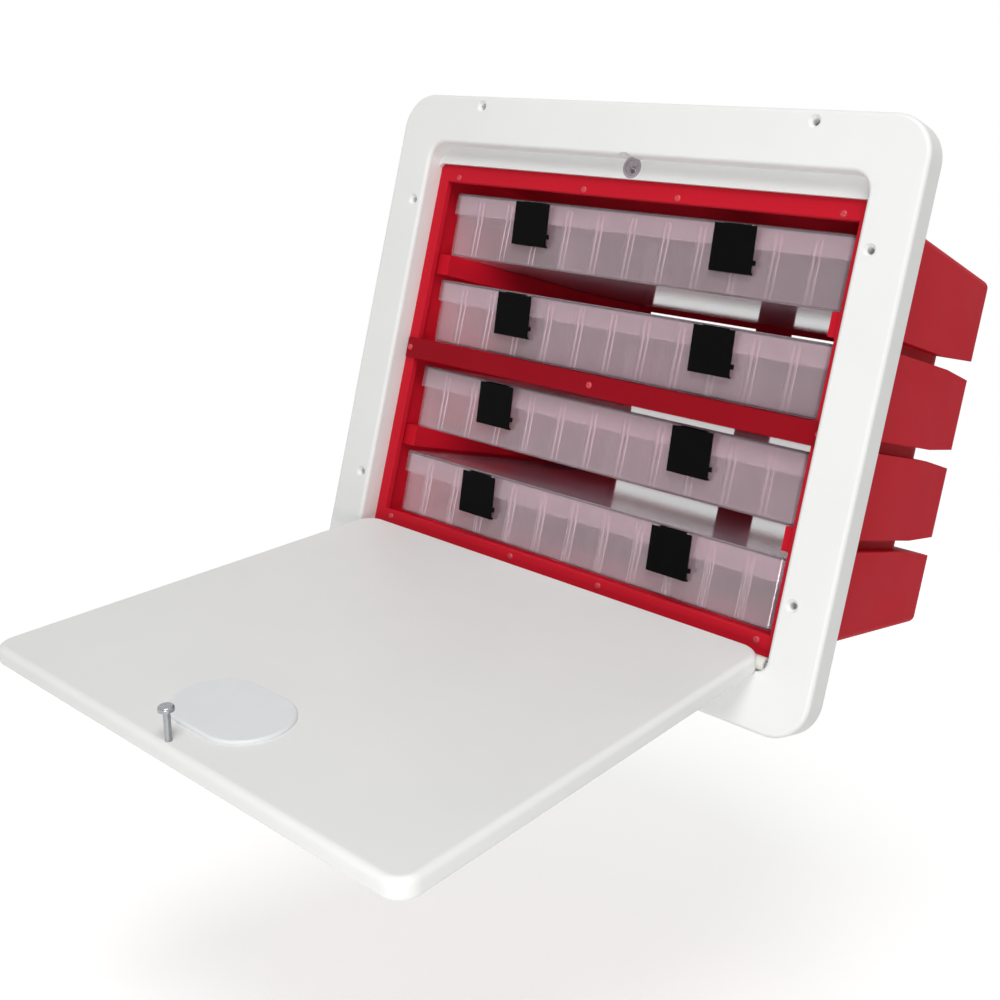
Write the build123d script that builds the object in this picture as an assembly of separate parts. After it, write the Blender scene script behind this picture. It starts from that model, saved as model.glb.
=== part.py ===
# A flush-mount tackle centre for a boat: a white sheet-plastic bezel with a
# drop-down door, a red moulded housing behind it and four clear utility boxes
# that slide in from the front, each with a lid, dividers and two flip latches.
# Millimetres. X runs to the right, Y back into the housing, Z up.
# The origin is the centre of the bezel's rear face, which seats on the panel.
from build123d import *
from math import asin, atan2, degrees, hypot
import os

# Bezel
bezel_side = 34.5
bezel_h = 390.0
bezel_t = 19.0
bezel_corner_r = 27.0
bezel_edge_r = 3.0
opening_h = 315.0
opening_corner_r = 13.0
opening_foot_r = 8.0
ledge_top = 13.7
ledge_bottom = 7.3
window_corner_r = 4.0
screw_hole_r = 2.4
screw_sink_r = 4.4
screw_sink_depth = 2.4
side_hole_out = 9.0
side_hole_z = 111.0
end_hole_x = 143.0
end_hole_z = 187.0

# Door and its pivots
door_t = 12.7
door_side_gap = 4.5
door_top_gap = 1.3
door_bottom_gap = 1.5
door_back_gap = 0.3
door_corner_r = 13.0
door_foot_r = 16.0
pin_r = 2.5
pin_back = 4.5
pin_up = 5.38
pin_in_door = 26.0
pin_in_bezel = 20.0
pin_running_gap = 0.08
pin_press_gap = 0.02
spacer_r = 4.4
spot_gap = 0.4
spot_in_door = 4.0
spot_in_bezel = 2.0
stop_gap = 0.1

# Catch: a headed stud on the door snaps into a cup in the top ledge
catch_up = 151.0
stud_r = 2.0
stud_head_r = 4.5
stud_head_t = 3.0
stud_length = 21.0
stud_root = 8.0
cup_lift = 0.9
cup_flange_r = 7.7
cup_flange_t = 1.5
cup_barrel_r = 6.8
cup_wall = 1.1
cup_seat_gap = 0.1
cup_notch_gap = 0.6

# Finger pull in the door
pull_from_edge = 46.0
pull_plate_w = 81.5
pull_plate_h = 54.5
pull_plate_t = 2.4
pull_plate_edge_r = 1.6
pull_cup_w = 64.0
pull_cup_h = 38.0
pull_wall = 2.0
pull_floor = 1.6
pull_seat_gap = 0.2

# Utility boxes
box_count = 4
box_w = 355.8
box_depth = 231.8
box_h = 49.4
box_pitch = 70.0
box_top = 123.2
box_front = 4.4
box_corner_r = 9.0
lid_wall = 1.8
lid_skirt = 16.5
lid_edge = 0.7
lid_gap = 0.4
tray_wall = 1.6
tray_floor = 1.6
tray_draft = 1.1
tray_foot_r = 2.5
guide_pitch = 29.8
guide_count = 11
guide_w = 2.2
guide_depth = 1.4
guide_slot = 1.9
divider_t = 1.3
divider_gap = 0.3
divider_drop = 2.5
divider_slots = ((3, 8), (5, 7))

# Lid hinge at the back of each box
knuckle_r = 2.4
knuckle_bore_r = 1.05
knuckle_rod_r = 1.0
knuckle_l = 12.0
knuckle_gap = 0.3
knuckle_x = 112.0
knuckle_drop = 12.0

# Flip latches on the front of each box
latch_x = 90.0
latch_w = 32.7
latch_h = 32.0
latch_below_top = 2.1
latch_pivot_out = 1.3
latch_outer_r = 3.2
latch_t = 1.2
latch_lip = 15.0
latch_foot_out = 1.0
latch_foot_t = 1.6
latch_hook = 2.2
latch_hook_h = 1.4
latch_barrel_r = 1.7
latch_barrel_w = 22.0
latch_stub_r = 0.8
latch_stub_gap = 0.08
latch_ear_w = 2.0
latch_ear_gap = 0.3
latch_tab_w = 2.6
latch_tab_h = 3.4
latch_tab_up = 6.2
catch_rib_h = 1.4
catch_rib_gap = 0.4

# Housing
housing_wall = 1.8
housing_front_in = 3.0
housing_front_top = 145.8
housing_front_bottom = -151.5
housing_back_gap = 0.6
housing_back_top = 133.5
housing_back_room = 6.8
housing_back_r = 12.0
housing_edge_r = 6.0
flange_t = 2.2
flange_side = 6.0
flange_end = 9.0
run_gap = 0.4
side_gap = 1.6
lip_side = 9.5
lip_top = 13.4
groove_depth = 8.5
groove_h = 8.7
groove_start = 8.0
notch_depth = 57.0
notch_inner = 140.0
notch_r = 30.0
post_w = 35.0
back_slot_h = 12.0
back_slot_out = 132.0

# Red trim and bar on the front of the housing
trim_t = 3.0
trim_gap = 0.3
trim_edge_r = 1.0
bar_t = 1.8
bar_h = 15.7
bar_return = 8.0
bar_drop = 0.6
bar_end_gap = 1.2

# Rivets and screws
rivet_r = 1.6
rivet_head_r = 2.5
rivet_head_t = 1.0
rivet_tail = 1.5
rivet_gap = 0.05
rivet_mid_x = 41.5
rivet_top_in = 21.0
rivet_bottom_in = 18.0
rivet_top_down = 9.8
rivet_bottom_up = 8.7
flange_screw_r = 1.6
flange_screw_head_r = 2.8
flange_screw_head_t = 1.6
flange_screw_depth = 4.0
flange_screw_tip_gap = 0.5
flange_screw_x = (60.0, 150.0)
flange_screw_in = 5.2

# Places that follow from the sizes above
over = 1.0
opening_w = box_w + 2 * (side_gap + lip_side)
bezel_w = opening_w + 2 * bezel_side
side_hole_x = opening_w / 2 + side_hole_out
housing_front_w = opening_w - 2 * housing_front_in
rivet_top_x = opening_w / 2 - rivet_top_in
rivet_bottom_x = opening_w / 2 - rivet_bottom_in
housing_back_w = box_w + 2 * (housing_wall + housing_back_gap)
bezel_front = -bezel_t
ledge_front = bezel_front + door_t + door_back_gap
opening_bottom = -opening_h / 2
opening_top = opening_h / 2
window_bottom = opening_bottom + ledge_bottom
window_top = opening_top - ledge_top
window_h = window_top - window_bottom
window_mid = (window_top + window_bottom) / 2
door_w = opening_w - 2 * door_side_gap
door_bottom = opening_bottom + door_bottom_gap
door_top = opening_top - door_top_gap
door_h = door_top - door_bottom
door_mid = (door_top + door_bottom) / 2
door_inner = bezel_front + door_t
cup_up = catch_up + cup_lift
pivot_y = bezel_front + pin_back
pivot_z = opening_bottom + pin_up
tray_rim = lid_wall + lid_gap
channel_wall_y = box_front + box_depth / 2
housing_depth = box_front + box_depth + housing_back_room
notch_front = housing_depth - notch_depth
cavity_top = window_top - lip_top
cavity_bottom = box_top - (box_count - 1) * box_pitch - box_h - run_gap
trim_face = -trim_t
bar_face = trim_face - bar_t
bar_top = box_top - box_pitch - box_h - bar_drop
bar_mid = bar_top - bar_h / 2


def stop_angle():
    """Degrees from shut to where the door's face meets the bezel's lower front edge."""
    across = pin_back - bezel_edge_r
    down = pin_up + bezel_edge_r
    reach = pin_back + bezel_edge_r + stop_gap
    return 180 - degrees(asin(reach / hypot(across, down))) - degrees(atan2(across, down))


door_angle = stop_angle()


def slab_x(face, x0, x1):
    """Extrude a face drawn in (Y, Z) from x0 to x1."""
    return extrude(Plane.YZ.offset(x0) * face, x1 - x0)


def slab_y(face, y0, y1):
    """Extrude a face drawn in (X, Z) from y0 to y1."""
    return extrude(Plane.XZ.offset(-y1) * face, y1 - y0)


def slab_z(face, z0, z1):
    """Extrude a face drawn in (X, Y) from z0 to z1."""
    return extrude(Plane.XY.offset(z0) * face, z1 - z0)


def block(x0, x1, y0, y1, z0, z1):
    """A box between two corners."""
    middle = Pos((x0 + x1) / 2, (y0 + y1) / 2, (z0 + z1) / 2)
    return middle * Box(x1 - x0, y1 - y0, z1 - z0)


def rod_x(radius, x0, x1, y, z):
    """A round bar along X."""
    return slab_x(Pos(y, z) * Circle(radius), x0, x1)


def rod_y(radius, y0, y1, x, z):
    """A round bar along Y."""
    return slab_y(Pos(x, z) * Circle(radius), y0, y1)


def outline(*points):
    """A flat face with straight sides through the given points."""
    return make_face(Polyline(*points, close=True))


def panel(width, height, top_r, foot_r):
    """A rectangle whose upper and lower corners have their own radius."""
    face = Rectangle(width, height)
    face = fillet(face.vertices().group_by(Axis.Y)[-1], top_r)
    return fillet(face.vertices().group_by(Axis.Y)[0], foot_r)


def open_door(shape):
    """Swing a piece drawn on the shut door to the door's open stop."""
    pivot = Pos(0, pivot_y, pivot_z)
    return pivot * Rot(door_angle, 0, 0) * pivot.inverse() * shape


def mirrored(shape):
    """The same piece on the left-hand side."""
    return mirror(shape, about=Plane.YZ)


def both_sides(shape):
    """A piece and its left-hand twin."""
    return [shape, mirrored(shape)]


def corners(x, z):
    """The four corners of a rectangle centred on the origin."""
    return [(sx * x, sz * z) for sx in (-1, 1) for sz in (-1, 1)]


def box_top_z(index):
    """Height of one box's lid; box 0 is the top one."""
    return box_top - index * box_pitch


def screw_hole(x, z):
    """A countersunk mounting hole through the bezel."""
    sink = slab_y(Circle(screw_sink_r), bezel_front - over, bezel_front)
    cone = Cone(screw_hole_r, screw_sink_r, screw_sink_depth)
    cone = Pos(0, bezel_front + screw_sink_depth / 2, 0) * Rot(90, 0, 0) * cone
    shank = slab_y(Circle(screw_hole_r), bezel_front - over, over)
    return Pos(x, 0, z) * (sink + cone + shank)


def door_spot_x():
    """Where the flat seat for the spacer lies on the door's side edge."""
    return door_w / 2 - spot_in_door


def bezel_spot_x():
    """Where the flat seat for the spacer lies on the opening's side."""
    return opening_w / 2 - spot_in_bezel


def make_bezel():
    """The sheet with its rebate for the door and its window for the housing."""
    body = slab_y(RectangleRounded(bezel_w, bezel_h, bezel_corner_r), bezel_front, 0)
    rebate = panel(opening_w, opening_h, opening_corner_r, opening_foot_r)
    body -= slab_y(rebate, bezel_front - over, ledge_front)
    front_face = body.faces().sort_by(Axis.Y)[0]
    body = fillet(front_face.edges(), bezel_edge_r)
    window = Pos(0, window_mid) * RectangleRounded(opening_w, window_h, window_corner_r)
    body -= slab_y(window, ledge_front - over, over)
    for x, z in corners(side_hole_x, side_hole_z) + corners(end_hole_x, end_hole_z):
        body -= screw_hole(x, z)
    cup_seat = ledge_front + cup_flange_t
    body -= rod_y(cup_flange_r + cup_seat_gap, bezel_front - over, cup_seat, 0, cup_up)
    body -= rod_y(cup_barrel_r + cup_seat_gap, cup_seat - over, over, 0, cup_up)
    spot = rod_x(spacer_r + spot_gap, door_spot_x(), bezel_spot_x(), pivot_y, pivot_z)
    bore_end = bezel_spot_x() + pin_in_bezel
    bore = rod_x(pin_r + pin_press_gap, door_spot_x(), bore_end, pivot_y, pivot_z)
    body -= both_sides(spot + bore)
    pilot_end = -flange_screw_depth - flange_screw_tip_gap
    body -= [rod_y(flange_screw_r + rivet_gap, pilot_end, over, x, z)
             for x, z in flange_screw_places()]
    return body


def make_door():
    """The drop-down panel, drawn shut and swung to its stop."""
    plate = Pos(0, door_mid) * panel(door_w, door_h, door_corner_r, door_foot_r)
    body = slab_y(plate, bezel_front, door_inner)
    by_depth = body.faces().sort_by(Axis.Y)
    body = fillet(by_depth[0].edges(), bezel_edge_r)
    by_depth = body.faces().sort_by(Axis.Y)
    body = fillet(by_depth[-1].edges(), pin_up - door_bottom_gap)
    hole = Pos(0, pull_z()) * SlotOverall(pull_cup_w, pull_cup_h)
    body -= slab_y(hole, bezel_front - over, door_inner + over)
    spot = rod_x(spacer_r + spot_gap, door_spot_x(), opening_w / 2, pivot_y, pivot_z)
    bore_end = door_spot_x() - pin_in_door
    bore = rod_x(pin_r + pin_running_gap, bore_end, opening_w / 2, pivot_y, pivot_z)
    body -= both_sides(spot + bore)
    stud_hole = rod_y(stud_r, door_inner - stud_root, door_inner + over, 0, catch_up)
    return open_door(body - stud_hole)


def pull_z():
    """Height of the finger pull's centre on the shut door."""
    return door_top - pull_from_edge


def make_finger_pull():
    """A cup let through the door, with its plate seated on the inner face."""
    centre = Pos(0, pull_z())
    plate = SlotOverall(pull_plate_w, pull_plate_h)
    plate_back = door_inner + pull_plate_t
    body = slab_y(centre * plate, door_inner, plate_back)
    back_face = body.faces().sort_by(Axis.Y)[-1]
    body = fillet(back_face.edges(), pull_plate_edge_r)
    outer_w = pull_cup_w - 2 * pull_seat_gap
    outer_h = pull_cup_h - 2 * pull_seat_gap
    cup = SlotOverall(outer_w, outer_h)
    recess = SlotOverall(outer_w - 2 * pull_wall, outer_h - 2 * pull_wall)
    body += slab_y(centre * cup, bezel_front, door_inner)
    body -= slab_y(centre * recess, bezel_front - over, door_inner - pull_floor)
    return open_door(body)


def make_strike_stud():
    """The headed stud that snaps into the cup in the top ledge."""
    tip = door_inner + stud_length
    shank = rod_y(stud_r, door_inner - stud_root, tip, 0, catch_up)
    head = rod_y(stud_head_r, tip - stud_head_t, tip, 0, catch_up)
    head = fillet(head.faces().sort_by(Axis.Y)[-1].edges(), stud_head_t / 2)
    return open_door(shank + head)


def make_catch_cup():
    """A flanged ring pressed into the top ledge, open for the stud's head."""
    seat = ledge_front + cup_flange_t
    flange = rod_y(cup_flange_r, ledge_front, seat, 0, cup_up)
    barrel = rod_y(cup_barrel_r, seat, 0, 0, cup_up)
    bore = rod_y(cup_barrel_r - cup_wall, ledge_front - over, over, 0, cup_up)
    return flange + barrel - bore


def make_hinge_pin():
    """The right-hand pivot pin, fixed in the bezel and running in the door."""
    inner = door_spot_x() - pin_in_door + over
    outer = bezel_spot_x() + pin_in_bezel
    return rod_x(pin_r, inner, outer, pivot_y, pivot_z)


def make_pivot_spacer():
    """The right-hand ring that keeps the door centred on its pins."""
    inner = door_spot_x() + spot_gap
    ring = rod_x(spacer_r, inner, bezel_spot_x(), pivot_y, pivot_z)
    bore = rod_x(pin_r + pin_press_gap, inner - over, opening_w, pivot_y, pivot_z)
    return ring - bore


def housing_solid(inset):
    """The housing's tapering form, drawn in by a wall's thickness for the hollow."""
    front = housing_front_w / 2 - inset
    back = housing_back_w / 2 - inset
    deep = housing_depth - inset
    top_front = housing_front_top - inset
    top_back = housing_back_top - inset
    low_front = housing_front_bottom + inset
    low_back = cavity_bottom - housing_wall + inset
    plan = outline((-front, 0), (front, 0), (back, deep), (-back, deep))
    plan = fillet(plan.vertices().group_by(Axis.Y)[-1], housing_back_r - inset)
    side = outline((0, low_front), (0, top_front), (deep, top_back), (deep, low_back))
    body = slab_z(plan, low_front, top_front) & slab_x(side, -front, front)
    long_edges = [e for e in body.edges() if is_long_edge(e)]
    return fillet(long_edges, housing_edge_r - inset)


def is_long_edge(edge):
    """True for the straight edges that run from front to back."""
    along = edge @ 1 - edge @ 0
    return abs(along.Y) > housing_depth / 2


def gap_middle(index):
    """Height of the middle of the gap under one box."""
    return box_top_z(index) - (box_h + box_pitch) / 2


def groove_plan(grow):
    """Plan of one side groove, which opens into a notch at the back corner."""
    inner = housing_back_w / 2 - groove_depth - grow
    corner = notch_inner - grow
    far = housing_front_w
    behind = housing_depth + over
    start = groove_start - grow
    turn = notch_front - grow
    plan = outline((inner, start), (inner, turn), (corner, behind), (far, behind), (far, start))
    bend = plan.vertices().sort_by_distance((inner, turn, 0))[0]
    return fillet([bend], notch_r)


def groove_cut(index):
    """The groove and corner notch outside the housing under one box, closed in front."""
    middle = gap_middle(index)
    half_front = groove_h / 2
    half_back = (box_pitch - box_h) / 2 - run_gap - housing_wall
    behind = housing_depth + over
    side = outline((0, middle - half_front), (0, middle + half_front),
                   (notch_front, middle + half_front), (behind, middle + half_back),
                   (behind, middle - half_back), (notch_front, middle - half_front))
    plan = slab_z(groove_plan(0), middle - half_back, middle + half_back)
    return plan & slab_x(side, 0, housing_front_w)


def rail_core(index):
    """The rail that the groove makes inside the housing, with its wall."""
    middle = gap_middle(index)
    top = box_top_z(index) - box_h - run_gap
    low_front = middle - groove_h / 2 - housing_wall
    low_back = box_top_z(index + 1) + run_gap
    behind = housing_depth + over
    side = outline((0, low_front), (0, top), (behind, top), (behind, low_back),
                   (notch_front, low_front))
    plan = slab_z(groove_plan(housing_wall), low_back, top)
    return plan & slab_x(side, 0, housing_front_w)


def lip_opening(y0, y1):
    """The clear opening at the front through which the boxes slide."""
    half = box_w / 2 + side_gap
    return block(-half, half, y0, y1, cavity_bottom, cavity_top)


def back_slots(index):
    """Two slots through the back wall beside the middle post, under one box."""
    middle = gap_middle(index)
    z0 = middle - back_slot_h / 2
    z1 = middle + back_slot_h / 2
    deep = housing_depth + over
    front = housing_depth - 2 * housing_wall - over
    return both_sides(block(post_w / 2, back_slot_out, front, deep, z0, z1))


def housing_flange():
    """The flat rim that lies on the bezel's rear face."""
    width = opening_w + 2 * flange_side
    top = window_top + flange_end
    bottom = window_bottom - flange_end
    rim = Pos(0, (top + bottom) / 2) * RectangleRounded(width, top - bottom, flange_end)
    return slab_y(rim, 0, flange_t)


def make_housing():
    """The moulded tub: drafted walls, side rails, notched corners and back slots."""
    body = housing_solid(0) + housing_flange()
    hollow = housing_solid(housing_wall) & block(-bezel_w, bezel_w, flange_t, housing_depth,
                                                 -bezel_h, bezel_h)
    for index in range(box_count - 1):
        body -= both_sides(groove_cut(index))
        hollow -= both_sides(rail_core(index))
    body -= hollow
    body -= lip_opening(-over, flange_t + over)
    for index in range(box_count - 1):
        body -= back_slots(index)
    notch_clear = cup_barrel_r - cup_wall + cup_notch_gap
    body -= rod_y(notch_clear, -over, flange_t + over, 0, cup_up)
    rivet_end = flange_t + rivet_tail + over
    body -= [rod_y(rivet_r + rivet_gap, -over, rivet_end, x, z) for x, z in rivet_places()]
    body -= [rod_y(flange_screw_r + rivet_gap, -over, flange_t + over, x, z)
             for x, z in flange_screw_places()]
    return body


def rivet_rows():
    """Centres of the rivets along the top and bottom of the trim."""
    top = window_top - rivet_top_down
    bottom = window_bottom + rivet_bottom_up
    row = [(s * x, top) for s in (-1, 1) for x in (rivet_mid_x, rivet_top_x)]
    return row + [(s * x, bottom) for s in (-1, 1) for x in (rivet_mid_x, rivet_bottom_x)]


def bar_rivets():
    """Centres of the two rivets that hold the ends of the middle bar."""
    x = (box_w / 2 + side_gap + opening_w / 2 - trim_gap) / 2
    return [(-x, bar_mid), (x, bar_mid)]


def rivet_places():
    """Centres of all the rivets that pass into the housing."""
    return rivet_rows() + bar_rivets()


def flange_screw_places():
    """Centres of the screws that hold the housing's rim to the bezel's ledges."""
    top = window_top + flange_screw_in
    bottom = window_bottom - flange_screw_in
    return [(s * x, z) for s in (-1, 1) for x in flange_screw_x for z in (top, bottom)]


def make_front_trim():
    """The red border that closes the housing's mouth inside the window."""
    width = opening_w - 2 * trim_gap
    height = window_h - 2 * trim_gap
    ring = RectangleRounded(width, height, window_corner_r)
    body = slab_y(Pos(0, window_mid) * ring, trim_face, 0)
    body -= lip_opening(trim_face - over, over)
    mouth = body.faces().sort_by(Axis.Y)[0].inner_wires()[0]
    body = fillet(mouth.edges(), trim_edge_r)
    body -= [rod_y(rivet_r + rivet_gap, trim_face - over, over, x, z) for x, z in rivet_places()]
    return body


def make_front_bar():
    """The channel across the middle of the mouth, between the second and third box."""
    half = opening_w / 2 - trim_gap - bar_end_gap
    inside = housing_back_w / 2 - groove_depth - housing_wall - bar_end_gap
    top = bar_top
    bottom = bar_top - bar_h
    face = block(-half, half, bar_face, trim_face, bottom, top)
    back = trim_face + bar_return
    upper = block(-inside, inside, trim_face, back, top - bar_t, top)
    lower = block(-inside, inside, trim_face, back, bottom, bottom + bar_t)
    holes = [rod_y(rivet_r + rivet_gap, bar_face - over, over, x, z)
             for x, z in bar_rivets() + [(0, bar_mid)]]
    return face + upper + lower - holes


def rivet(x, z, face, tail):
    """One rivet from its bevelled head on a face back to its tail."""
    head = rod_y(rivet_head_r, face - rivet_head_t, face, x, z)
    head = chamfer(head.faces().sort_by(Axis.Y)[0].edges(), rivet_head_t / 2)
    return head + rod_y(rivet_r, face, tail, x, z)


def make_rivets():
    """Every rivet of the trim and the bar."""
    tail = flange_t + rivet_tail
    rivets = [rivet(x, z, trim_face, tail) for x, z in rivet_rows()]
    rivets += [rivet(x, z, bar_face, tail) for x, z in bar_rivets()]
    rivets.append(rivet(0, bar_mid, bar_face, trim_face + rivet_tail))
    return Compound(children=rivets)


def make_flange_screws():
    """The pan-head screws behind the housing's rim."""
    screws = []
    for x, z in flange_screw_places():
        shank = rod_y(flange_screw_r, -flange_screw_depth, flange_t, x, z)
        head_end = flange_t + flange_screw_head_t
        screws.append(shank + rod_y(flange_screw_head_r, flange_t, head_end, x, z))
    return Compound(children=screws)


def box_plan(inset, front):
    """Rounded plan of one box, drawn in by an inset, with its front face at a place."""
    width = box_w - 2 * inset
    depth = box_depth - 2 * inset
    radius = box_corner_r - inset
    return Pos(0, front + box_depth / 2) * RectangleRounded(width, depth, radius)


def tray_body(inset, foot, rim):
    """The tray's drafted form between two heights, narrower at the foot."""
    wide = box_plan(inset, box_front)
    narrow = box_plan(inset + tray_draft, box_front)
    return loft([Plane.XY.offset(foot) * narrow, Plane.XY.offset(rim) * wide])


def guide_x(slot):
    """Centre of one divider slot along the box."""
    return (slot - (guide_count - 1) / 2) * guide_pitch


def guide_faces():
    """The four lines across the box that carry divider guides, with their way out."""
    inner = tray_rim + tray_wall + tray_draft / 2
    half_wall = tray_wall / 2
    return ((box_front + inner, 1), (channel_wall_y - half_wall, -1),
            (channel_wall_y + half_wall, 1), (box_front + box_depth - inner, -1))


def guides(z0, z1):
    """Pairs of upright ribs that hold the dividers."""
    ribs = []
    for y, way in guide_faces():
        y0 = min(y - way * tray_draft, y + way * guide_depth)
        y1 = max(y - way * tray_draft, y + way * guide_depth)
        for slot in range(guide_count):
            for side in (-1, 1):
                x = guide_x(slot) + side * (guide_slot + guide_w) / 2
                ribs.append(block(x - guide_w / 2, x + guide_w / 2, y0, y1, z0, z1))
    return ribs


def knuckle(x0, x1, y, z):
    """One hinge knuckle with the web that joins it to the wall in front."""
    web = block(x0, x1, y - knuckle_r - lid_wall, y, z - knuckle_r, z + knuckle_r)
    return rod_x(knuckle_r, x0, x1, y, z) + web


def hinge_line(index):
    """Depth and height of the lid hinge on one box."""
    return box_front + box_depth + knuckle_r, box_top_z(index) - knuckle_drop


def hinge_stations():
    """Centres of the two lid hinges along the box."""
    return (-knuckle_x, knuckle_x)


def hinge_half():
    """Half the length of one lid hinge, from its middle to the end of an outer knuckle."""
    return knuckle_l / 2 + knuckle_gap + knuckle_l


def make_tray(index):
    """An open tray with a long middle wall, divider guides, catch ribs and knuckles."""
    rim = box_top_z(index) - tray_rim
    foot = box_top_z(index) - box_h
    floor = foot + tray_floor
    body = tray_body(tray_rim, foot, rim)
    body = fillet(body.faces().sort_by(Axis.Z)[0].edges(), tray_foot_r)
    inside = tray_body(tray_rim + tray_wall, floor, rim + over)
    body -= inside
    guide_top = rim - divider_drop
    half_wall = tray_wall / 2
    middle = block(-box_w / 2, box_w / 2, channel_wall_y - half_wall, channel_wall_y + half_wall,
                   floor, guide_top)
    body += middle & inside
    body += guides(floor, guide_top)
    body += both_sides(catch_rib(index))
    body += [hinge_lug(index, x, side) for x in hinge_stations() for side in (-1, 1)]
    y, z = hinge_line(index)
    reach = hinge_half() + over
    body -= [rod_x(knuckle_bore_r, x - reach, x + reach, y, z) for x in hinge_stations()]
    return body


def hinge_lug(index, x, side):
    """One outer knuckle of a lid hinge, carried under the lid's skirt by the tray."""
    y, z = hinge_line(index)
    near = x + side * (knuckle_l / 2 + knuckle_gap)
    away = x + side * hinge_half()
    x0 = min(near, away)
    x1 = max(near, away)
    root = box_front + box_depth - tray_rim - tray_wall
    skirt_end = box_top_z(index) - lid_skirt - knuckle_gap
    web = block(x0, x1, root, y + knuckle_r, skirt_end - knuckle_r, skirt_end)
    drop = block(x0, x1, y, y + knuckle_r, skirt_end - over, z)
    return rod_x(knuckle_r, x0, x1, y, z) + web + drop


def catch_rib(index):
    """The small rib on the tray's front wall that the right-hand latch's hook goes under."""
    foot = box_top_z(index) - latch_below_top - latch_h
    z0 = foot + latch_hook_h + catch_rib_gap
    half = latch_barrel_w / 2
    front = latch_foot_back() + catch_rib_gap
    back = box_front + tray_rim + tray_wall
    return block(latch_x - half, latch_x + half, front, back, z0, z0 + catch_rib_h)


def latch_pivot(index):
    """Depth and height of a latch's pivot on one box."""
    lip = latch_outer_r * lip_rise()
    return box_front - latch_pivot_out, box_top_z(index) - latch_below_top - lip


def lip_rise():
    """How far the latch's rolled top rises over its pivot, per unit of radius."""
    return Vector(1, 0, 0).rotate(Axis.Z, latch_lip).Y


def latch_foot_back():
    """Depth of the inner side of a latch's foot."""
    return box_front - latch_foot_out + latch_foot_t


def make_lid(index):
    """A shallow cap with a skirt, ears for the latches and hinge knuckles."""
    top = box_top_z(index)
    skirt_end = top - lid_skirt
    body = slab_z(box_plan(0, box_front), skirt_end, top)
    body = chamfer(body.faces().sort_by(Axis.Z)[-1].edges(), lid_edge)
    body -= slab_z(box_plan(lid_wall, box_front), skirt_end - over, top - lid_wall)
    y, z = latch_pivot(index)
    ear_near = latch_barrel_w / 2 + latch_ear_gap
    ear_far = ear_near + latch_ear_w
    for x in (-latch_x, latch_x):
        body += [latch_ear(x + near, x + away, y, z)
                 for near, away in ((-ear_far, -ear_near), (ear_near, ear_far))]
        body -= rod_x(latch_stub_r + latch_stub_gap, x - ear_far - over, x + ear_far + over, y, z)
        body -= rod_x(latch_barrel_r + latch_ear_gap, x - ear_near, x + ear_near, y, z)
    y, z = hinge_line(index)
    for x in hinge_stations():
        body += knuckle(x - knuckle_l / 2, x + knuckle_l / 2, y, z)
        body -= rod_x(knuckle_bore_r, x - knuckle_l, x + knuckle_l, y, z)
    return body


def latch_ear(x0, x1, y, z):
    """One round ear on the lid's skirt that carries a latch's stub."""
    root = block(x0, x1, y, box_front + over, z - latch_barrel_r, z + latch_barrel_r)
    return rod_x(latch_barrel_r, x0, x1, y, z) + root


def make_lid_pins(index):
    """The two short rods of the lid's hinges."""
    y, z = hinge_line(index)
    half = hinge_half()
    rods = [rod_x(knuckle_rod_r, x - half, x + half, y, z) for x in hinge_stations()]
    return Compound(children=rods)


def channel_bounds(channel):
    """Front and back of the space between two facing walls of one channel."""
    faces = guide_faces()
    return faces[2 * channel][0], faces[2 * channel + 1][0]


def make_dividers(index):
    """Upright plates that stand in the guides across the two channels."""
    rim = box_top_z(index) - tray_rim
    z0 = box_top_z(index) - box_h + tray_floor
    z1 = rim - divider_drop
    plates = []
    for channel, slots in enumerate(divider_slots):
        front, back = channel_bounds(channel)
        for slot in slots:
            x = guide_x(slot)
            plates.append(block(x - divider_t / 2, x + divider_t / 2, front + tray_draft,
                                back - tray_draft, z0 + divider_gap, z1))
    return Compound(children=plates)


def latch_profile(y, z):
    """Side view of a latch: a rolled top, a plate that leans in, and a hooked foot."""
    foot_z = z + latch_outer_r * lip_rise() - latch_h
    foot_front = box_front - latch_foot_out
    foot_back = latch_foot_back()
    inner_r = latch_outer_r - latch_t
    rolled = Vector(-1, 0, 0).rotate(Axis.Z, -latch_lip)
    outer_top = (y + latch_outer_r * rolled.X, z + latch_outer_r * rolled.Y)
    inner_top = (y + inner_r * rolled.X, z + inner_r * rolled.Y)
    bend = Vector(-1, 0, 0).rotate(Axis.Z, -latch_lip / 2)
    outer_mid = (y + latch_outer_r * bend.X, z + latch_outer_r * bend.Y)
    inner_mid = (y + inner_r * bend.X, z + inner_r * bend.Y)
    outer = ThreePointArc((y - latch_outer_r, z), outer_mid, outer_top)
    top = Line(outer_top, inner_top)
    inner = ThreePointArc(inner_top, inner_mid, (y - inner_r, z))
    hook_tip = foot_back + latch_hook
    hook_top = foot_z + latch_hook_h
    rest = Polyline((y - inner_r, z), (foot_back, hook_top), (hook_tip, hook_top),
                    (hook_tip, foot_z), (foot_front, foot_z), (y - latch_outer_r, z))
    return make_face(outer + top + inner + rest)


def make_latch(index, x):
    """One flip latch with its barrel, its two pivot stubs and its thumb tab."""
    y, z = latch_pivot(index)
    half = latch_w / 2
    profile = latch_profile(y, z)
    body = slab_x(profile, x - half, x + half)
    barrel = latch_barrel_w / 2
    body += rod_x(latch_barrel_r, x - barrel, x + barrel, y, z)
    body += block(x - barrel, x + barrel, y - latch_outer_r + latch_t / 2, y,
                  z - latch_barrel_r, z)
    stub = barrel + latch_ear_gap + latch_ear_w
    body += rod_x(latch_stub_r, x - stub, x + stub, y, z)
    tab_foot = box_top_z(index) - latch_below_top - latch_h + latch_tab_up
    tab_end = x + half + latch_tab_w
    band = block(x, tab_end, y - latch_outer_r, box_front + over, tab_foot, tab_foot + latch_tab_h)
    return body + (slab_x(profile, x, tab_end) & band)


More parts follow.
